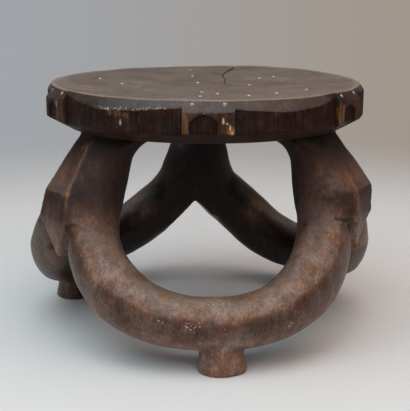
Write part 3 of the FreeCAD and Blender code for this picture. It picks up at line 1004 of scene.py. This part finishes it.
def carve_legs(mesh):
    """Carves tool marks, grain, ridges, pockets and undercuts; says where the last two are, for their
    painted shade.
    """
    points, normals, _ = mesh_arrays(mesh)
    pockets = ragged_spots(points, POCKETS)
    undercut = undercut_share(points)
    moves = RIDGE_RISE * np.clip(1 - bow_ridge(points)[0] / RIDGE_REACH, 0, 1)
    moves -= POCKET_DEPTH * pockets + UNDERCUT_DEPTH * undercut
    for marks in (LEG_FACETS, LEG_RIPPLES, LEG_GRAIN):
        moves += relief(points, *marks)
    points = points + normals * moves[:, None]
    points[:, 2] = np.maximum(points[:, 2], 0)
    set_points(mesh, points)
    return np.maximum(pockets, undercut)


def finish_legs(mesh, cut):
    """Keeps the finish, with its painted light and shade, and the wear and painted shade in hollows of
    each point of the legs.
    """
    points, normals, _ = mesh_arrays(mesh)
    height = points[:, 2]
    apart = np.min([distance_to_line(points, line)[0] for line in CRESTS], axis=0)
    rubbed = EDGE_WEAR + (1 - EDGE_WEAR) * smooth_step(apart, CREST_REACH, CREST_REACH / 2)
    flecks = smooth_step(spot_distance(points, FLECKS), *SOFT_EDGE)
    keep_values(
        mesh,
        wear=rubbed * np.clip(stands_out(mesh, *LEG_EDGE), 0, 1),
        # Painted shade in hollows, pockets and undercuts
        hollow=np.maximum(cut, np.clip(-stands_out(mesh, *LEG_HOLLOW_SHADE), 0, 1)),
        tone=leg_tones(points, normals),
        pale=np.zeros(len(points)),
        dull=UPRIGHT_DULLNESS * smooth_step(height, *DULL_RANGE) - BOW_POLISH,
        mottle=1 - UPRIGHT_EVENNESS * smooth_step(height, *EVEN_RANGE),
        streak=np.full(len(points), LEG_STREAKS),
        specked=np.maximum(flecks, BOW_SPECKS * smooth_step(height, *SPECK_RANGE)),
    )


def carved_legs(wood):
    """Uprights, bows and feet as the one carving that they are."""
    mesh = leg_block()
    mesh.name = "carved_legs"
    fill_hollows(mesh)
    finish_legs(mesh, carve_legs(mesh))
    cut_top(mesh)
    mesh.materials.append(wood)
    mesh.shade_smooth()
    piece = new_object("carved_legs", mesh)
    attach(piece, "root")
    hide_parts(*leg_names())


# Materials


def new_material(name):
    """Empty node material and its shader."""
    material = bpy.data.materials.new(name)
    material.use_nodes = True
    return material, material.node_tree, material.node_tree.nodes["Principled BSDF"]


def set_inputs(tree, node, inputs):
    """Sets inputs of a node, by name or place, or links them to outputs of other nodes."""
    for key, value in dict(inputs).items():
        socket = node.inputs[key]
        if isinstance(value, bpy.types.NodeSocket):
            tree.links.new(value, socket)
        elif socket.type == "RGBA":
            socket.default_value = (*value, 1.0)
        else:
            socket.default_value = value


def add_node(tree, kind, output, inputs=(), **settings):
    """Output of a new node, with some of its inputs, by name or place, and some settings."""
    node = tree.nodes.new("ShaderNode" + kind)
    for name, value in settings.items():
        setattr(node, name, value)
    set_inputs(tree, node, inputs)
    return node.outputs[output]


def value_node(tree, operation, first, second):
    """Result of a sum, product or other operation of two numbers."""
    return add_node(tree, "Math", 0, {0: first, 1: second}, operation=operation)


def ranged(tree, value, low, high, to_low=0.0, to_high=1.0):
    """A number moved smoothly from one range to another."""
    inputs = enumerate((value, low, high, to_low, to_high))
    return add_node(tree, "MapRange", 0, inputs, interpolation_type="SMOOTHSTEP")


def mixed(tree, share, first, second):
    """Colour between two colours."""
    return add_node(tree, "Mix", 2, {0: share, 6: first, 7: second}, data_type="RGBA")


def noise_node(tree, place, scale, detail, roughness):
    """Noise from 0 to 1."""
    inputs = {"Vector": place, "Scale": scale, "Detail": detail, "Roughness": roughness}
    return add_node(tree, "TexNoise", "Fac", inputs)


def ramp(tree, value, stops):
    """Colour from a row of (position, colour) stops."""
    node = tree.nodes.new("ShaderNodeValToRGB")
    elements = node.color_ramp.elements
    while len(elements) < len(stops):
        elements.new(0.5)
    for element, (position, colour) in zip(elements, stops):
        element.position = position
        element.color = (*colour, 1.0)
    set_inputs(tree, node, {"Fac": value})
    return node.outputs["Color"]


def kept(tree, name):
    """Number kept for each point of the mesh."""
    return add_node(tree, "Attribute", "Fac", attribute_name=name)


def bump(tree, height, strength, distance):
    """Relief from a texture."""
    inputs = {"Height": height, "Strength": strength, "Distance": distance}
    return add_node(tree, "Bump", "Normal", inputs)


def product(tree, first, second):
    """Two numbers multiplied."""
    return value_node(tree, "MULTIPLY", first, second)


def total(tree, first, *others):
    """Numbers added up."""
    for other in others:
        first = value_node(tree, "ADD", first, other)
    return first


def swing(tree, texture, amount):
    """Texture as a change up or down by up to half an amount."""
    return product(tree, value_node(tree, "SUBTRACT", texture, 0.5), amount)


def wood_textures(tree):
    """The noises of the wood by name, with the grain and the stains drawn out upwards."""
    place = add_node(tree, "TexCoord", "Object")
    along_grain = add_node(tree, "Mapping", "Vector", {"Vector": place, "Scale": GRAIN_STRETCH})
    drawn_out = add_node(tree, "Mapping", "Vector", {"Vector": place, "Scale": STAIN_STRETCH})
    places = {"grain": along_grain, "pores": along_grain, "stains": drawn_out, "specks": drawn_out}
    return {
        name: noise_node(tree, places.get(name, place), *settings)
        for name, settings in WOOD_NOISES.items()
    }


def wood_tone(tree, textures):
    """How light the wood is, with its blotches and streaks."""
    blotches = total(tree, *[swing(tree, textures[name], amount) for name, amount in BLOTCHES])
    streaks = swing(tree, textures["grain"], kept(tree, "streak"))
    return total(tree, kept(tree, "tone"), product(tree, blotches, kept(tree, "mottle")), streaks)


def wood_colour(tree, textures):
    """Colour of the wood under dust and painted sheen, wear, flecks, painted shade in hollows, and pale
    chips and a pale ridge that is partly a painted highlight.
    """
    inputs = {
        "Saturation": ranged(tree, textures["tints"], *TINT_RANGE),
        "Color": ramp(tree, wood_tone(tree, textures), WOOD_STOPS),
    }
    colour = add_node(tree, "HueSaturation", "Color", inputs)
    normal = add_node(tree, "NewGeometry", "Normal")
    # Dust and a painted sheen on faces that look upwards
    upward = ranged(tree, add_node(tree, "SeparateXYZ", "Z", {0: normal}), *UPWARD_RANGE)
    dust_and_sheen = product(tree, upward, ranged(tree, textures["patches"], *DUST_AND_SHEEN_RANGE))
    rubbed = product(tree, kept(tree, "wear"), ranged(tree, textures["grain"], *WEAR_RANGE))
    thick = product(tree, kept(tree, "specked"), FLECK_THICKENING)
    speckled = ranged(tree, total(tree, textures["flecks"], thick), *FLECK_RANGE)
    # Painted shade in hollows, pockets and undercuts, in the darkest wood colour
    dark = product(tree, kept(tree, "hollow"), HOLLOW_SHADING)
    pale = product(tree, kept(tree, "pale"), ranged(tree, textures["specks"], *PALE_RANGE))
    layers = (
        (dust_and_sheen, DUST_AND_SHEEN_COLOUR), (rubbed, WEAR_COLOUR), (speckled, SPECK_COLOUR),
        (dark, WOOD_STOPS[0][1]), (pale, PALE_COLOUR),
    )
    for share, paint in layers:
        colour = mixed(tree, share, colour, paint)
    return colour


def wood_material(name, gloss):
    """Dark hardwood with straight grain, some polish, dust and a painted sheen on top, and rubbed edges.
    """
    material, tree, shader = new_material(name)
    textures = wood_textures(tree)
    rough = ranged(tree, textures["patches"], *ROUGHNESS_RANGE)
    height = total(tree, textures["grain"], textures["pores"], textures["stains"])
    set_inputs(tree, shader, {
        "Base Color": wood_colour(tree, textures),
        "Roughness": total(tree, rough, kept(tree, "dull")),
        "Specular IOR Level": gloss,
        "Normal": bump(tree, height, *WOOD_BUMP),
    })
    return material


def tack_material(name, bright, tarnished, roughness):
    """Dull, tarnished steel."""
    material, tree, shader = new_material(name)
    tarnish = noise_node(tree, add_node(tree, "TexCoord", "Object"), *TARNISH_NOISE)
    set_inputs(tree, shader, {
        "Base Color": mixed(tree, ranged(tree, tarnish, *TARNISH_RANGE), bright, tarnished),
        "Metallic": 1.0,
        "Roughness": ranged(tree, tarnish, *TACK_ROUGHNESS_RANGE, *roughness),
        "Normal": bump(tree, tarnish, *TACK_BUMP),
    })
    return material


def finish_tacks():
    """Gives every tack its metal: rubbed bright in the dish, duller on the lugs."""
    metals = {kind: tack_material(*settings) for kind, settings in TACK_METALS.items()}
    for name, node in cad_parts.items():
        if "tack" in name:
            node.data.materials.clear()
            node.data.materials.append(metals[name.split("_")[0]])


# Stage, light and camera


def stage_panel(name, corners, material):
    """Flat panel of the stage."""
    mesh = bpy.data.meshes.new(name)
    mesh.from_pydata(corners, [], [(0, 1, 2, 3)])
    mesh.materials.append(material)
    panel = new_object(name, mesh)
    return panel


def paper_material(name, colour):
    """Plain matt paper."""
    material, tree, shader = new_material(name)
    inputs = {"Base Color": colour, "Roughness": PAPER_ROUGHNESS, "Specular IOR Level": PAPER_GLOSS}
    set_inputs(tree, shader, inputs)
    return material, tree, shader


def floor_material():
    """Paper that fades into the backdrop far away, and that a camera below sees through."""
    material, tree, shader = paper_material("floor_paper", PAPER_COLOUR)
    place = add_node(tree, "TexCoord", "Object")
    distance = add_node(tree, "VectorMath", "Value", {0: place}, operation="LENGTH")
    below = add_node(tree, "NewGeometry", "Backfacing")
    hidden = value_node(tree, "MAXIMUM", ranged(tree, distance, *FADE), below)
    gone = product(tree, hidden, add_node(tree, "LightPath", "Is Camera Ray"))
    inputs = {0: gone, 1: shader.outputs[0], 2: add_node(tree, "BsdfTransparent", 0)}
    surface = add_node(tree, "MixShader", 0, inputs)
    set_inputs(tree, tree.nodes["Material Output"], {"Surface": surface})
    return material


def stage():
    """Pale floor, and a wall behind the stool that only gives light back."""
    far = FLOOR_REACH
    corners = [(-far, -far, 0), (far, -far, 0), (far, far, 0), (-far, far, 0)]
    stage_panel("floor", corners, floor_material())
    wide = WALL_HALF_WIDTH
    back = WALL_PLACE
    corners = [(-wide, back, 0), (wide, back, 0), (wide, back, WALL_TOP), (-wide, back, WALL_TOP)]
    wall = stage_panel("wall", corners, paper_material("wall_paper", WALL_COLOUR)[0])
    wall.visible_camera = False


def soft_box(name, place, aim, size, power, colour):
    """Large soft lamp at a place, pointed at another."""
    lamp = bpy.data.lights.new(name, "AREA")
    lamp.shape = "RECTANGLE"
    lamp.size, lamp.size_y = size
    lamp.energy = power
    lamp.color = colour
    holder = new_object(name, lamp)
    holder.location = place
    holder.rotation_euler = (Vector(aim) - Vector(place)).to_track_quat("-Z", "Y").to_euler()
    holder.visible_camera = False


def lights():
    """The soft lamps, and a world that the camera sees as a backdrop with painted light, cool at the
    left and warm at the right.
    """
    for lamp in LAMPS:
        soft_box(*lamp)
    world = bpy.data.worlds.new("studio")
    world.use_nodes = True
    tree = world.node_tree
    sideways = add_node(tree, "SeparateXYZ", "X", {0: add_node(tree, "TexCoord", "Generated")})
    backdrop = mixed(tree, ranged(tree, sideways, *BACKDROP_RANGE), BACKDROP_COOL, BACKDROP_WARM)
    shown = mixed(tree, add_node(tree, "LightPath", "Is Camera Ray"), WORLD_LIGHT, backdrop)
    set_inputs(tree, tree.nodes["Background"], {"Color": shown})
    bpy.context.scene.world = world


def camera():
    """Camera at the viewing angle of the stool's picture."""
    lens = bpy.data.cameras.new("camera")
    lens.sensor_width = SENSOR
    lens.lens = FOCAL_PIXELS * SENSOR / IMAGE_HEIGHT
    holder = new_object("camera", lens)
    ahead = Vector((-math.sin(CAMERA_TURN), math.cos(CAMERA_TURN), 0))
    holder.location = -CAMERA_DISTANCE * ahead + Vector((0, 0, CAMERA_HEIGHT))
    turned = Matrix.Rotation(CAMERA_TURN, 4, "Z")
    tilted = Matrix.Rotation(math.pi / 2 - CAMERA_PITCH, 4, "X")
    rolled = Matrix.Rotation(CAMERA_ROLL, 4, "Z")
    holder.rotation_euler = (turned @ tilted @ rolled).to_euler()
    bpy.context.scene.camera = holder


carved_seat(wood_material("polished_wood", TOP_GLOSS), wood_material("rim_wood", RIM_GLOSS))
carved_legs(wood_material("leg_wood", LEG_GLOSS))
finish_tacks()
stage()
lights()
camera()
bpy.context.scene.view_settings.view_transform = "Standard"
